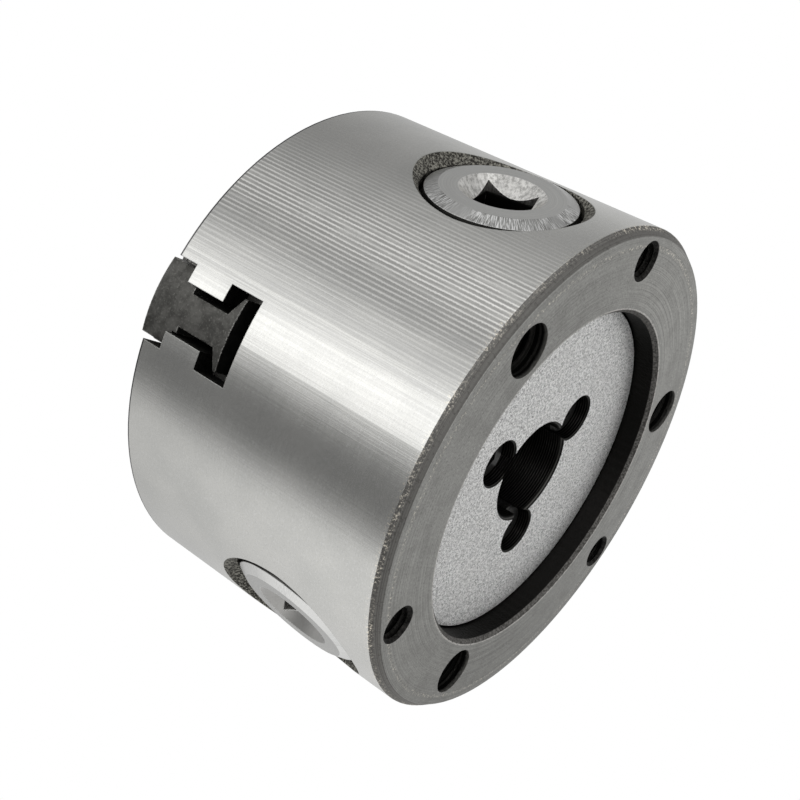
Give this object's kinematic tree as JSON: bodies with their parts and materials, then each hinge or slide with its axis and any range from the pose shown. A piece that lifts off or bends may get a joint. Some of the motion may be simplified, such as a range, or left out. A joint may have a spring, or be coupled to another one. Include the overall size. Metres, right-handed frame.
{
  "type": "lathe chuck",
  "caption": "Self-centring lathe chuck with a cylindrical body, stepped jaws, a scroll plate and square-socket key pinions.",
  "frame": {"origin": "centre of the rear mounting face, on the chuck axis", "axes": "+Z along the chuck axis from the rear face to the jaws, +X along jaw 1"},
  "size_m": [0.08, 0.08, 0.066],
  "materials": {
    "ground_body": "ground and turned steel, fine feed lines along the body",
    "machined_steel": "machined and oiled steel",
    "blasted_cover": "matte bead-blasted steel",
    "hardened_jaw": "dark hardened steel with a mottled oxide",
    "turned_pinion": "turned steel with radial and ring-shaped tool marks",
    "black_fastener": "black oxide"
  },
  "bodies": {
    "body": {"chuck_body": "ground_body", "rear_cover": "blasted_cover", "pinion_retaining_screw_1": "black_fastener", "pinion_retaining_screw_2": "black_fastener", "pinion_retaining_screw_3": "black_fastener", "cover_screw_1": "black_fastener", "cover_screw_2": "black_fastener", "cover_screw_3": "black_fastener"},
    "scroll": {"scroll_plate": "machined_steel"},
    "jaw_1": {"jaw_1": "hardened_jaw"},
    "jaw_2": {"jaw_2": "hardened_jaw"},
    "jaw_3": {"jaw_3": "hardened_jaw"},
    "pinion_1": {"pinion_1": "turned_pinion"},
    "pinion_2": {"pinion_2": "turned_pinion"},
    "pinion_3": {"pinion_3": "turned_pinion"}
  },
  "joints": [
    {"name": "scroll_turn", "type": "hinge", "parent": "body", "child": "scroll", "pos_m": [0, 0, 0.03], "axis": [0, 0, 1], "range_deg": [-216, 684]},
    {"name": "jaw_1_slide", "type": "slide", "parent": "body", "child": "jaw_1", "axis": [1, 0, 0], "range_m": [-0.0076, 0.0024]},
    {"name": "jaw_2_slide", "type": "slide", "parent": "body", "child": "jaw_2", "axis": [-0.5, 0.866, 0], "range_m": [-0.0076, 0.0024]},
    {"name": "jaw_3_slide", "type": "slide", "parent": "body", "child": "jaw_3", "axis": [-0.5, -0.866, 0], "range_m": [-0.0076, 0.0024]},
    {"name": "pinion_1_turn", "type": "hinge", "parent": "body", "child": "pinion_1", "pos_m": [0.0165, 0.02858, 0.019], "axis": [0.5, 0.866, 0], "range_deg": [-2052, 648]},
    {"name": "pinion_2_turn", "type": "hinge", "parent": "body", "child": "pinion_2", "pos_m": [-0.033, 0, 0.019], "axis": [-1, 0, 0], "range_deg": [-2052, 648]},
    {"name": "pinion_3_turn", "type": "hinge", "parent": "body", "child": "pinion_3", "pos_m": [0.0165, -0.02858, 0.019], "axis": [0.5, -0.866, 0], "range_deg": [-2052, 648]}
  ],
  "couplings": [
    {"joint": "jaw_1_slide", "follows": "scroll_turn", "m_per_rad": -0.00063662},
    {"joint": "jaw_2_slide", "follows": "scroll_turn", "m_per_rad": -0.00063662},
    {"joint": "jaw_3_slide", "follows": "scroll_turn", "m_per_rad": -0.00063662},
    {"joint": "pinion_1_turn", "follows": "scroll_turn", "ratio": -3},
    {"joint": "pinion_2_turn", "follows": "scroll_turn", "ratio": -3},
    {"joint": "pinion_3_turn", "follows": "scroll_turn", "ratio": -3}
  ]
}
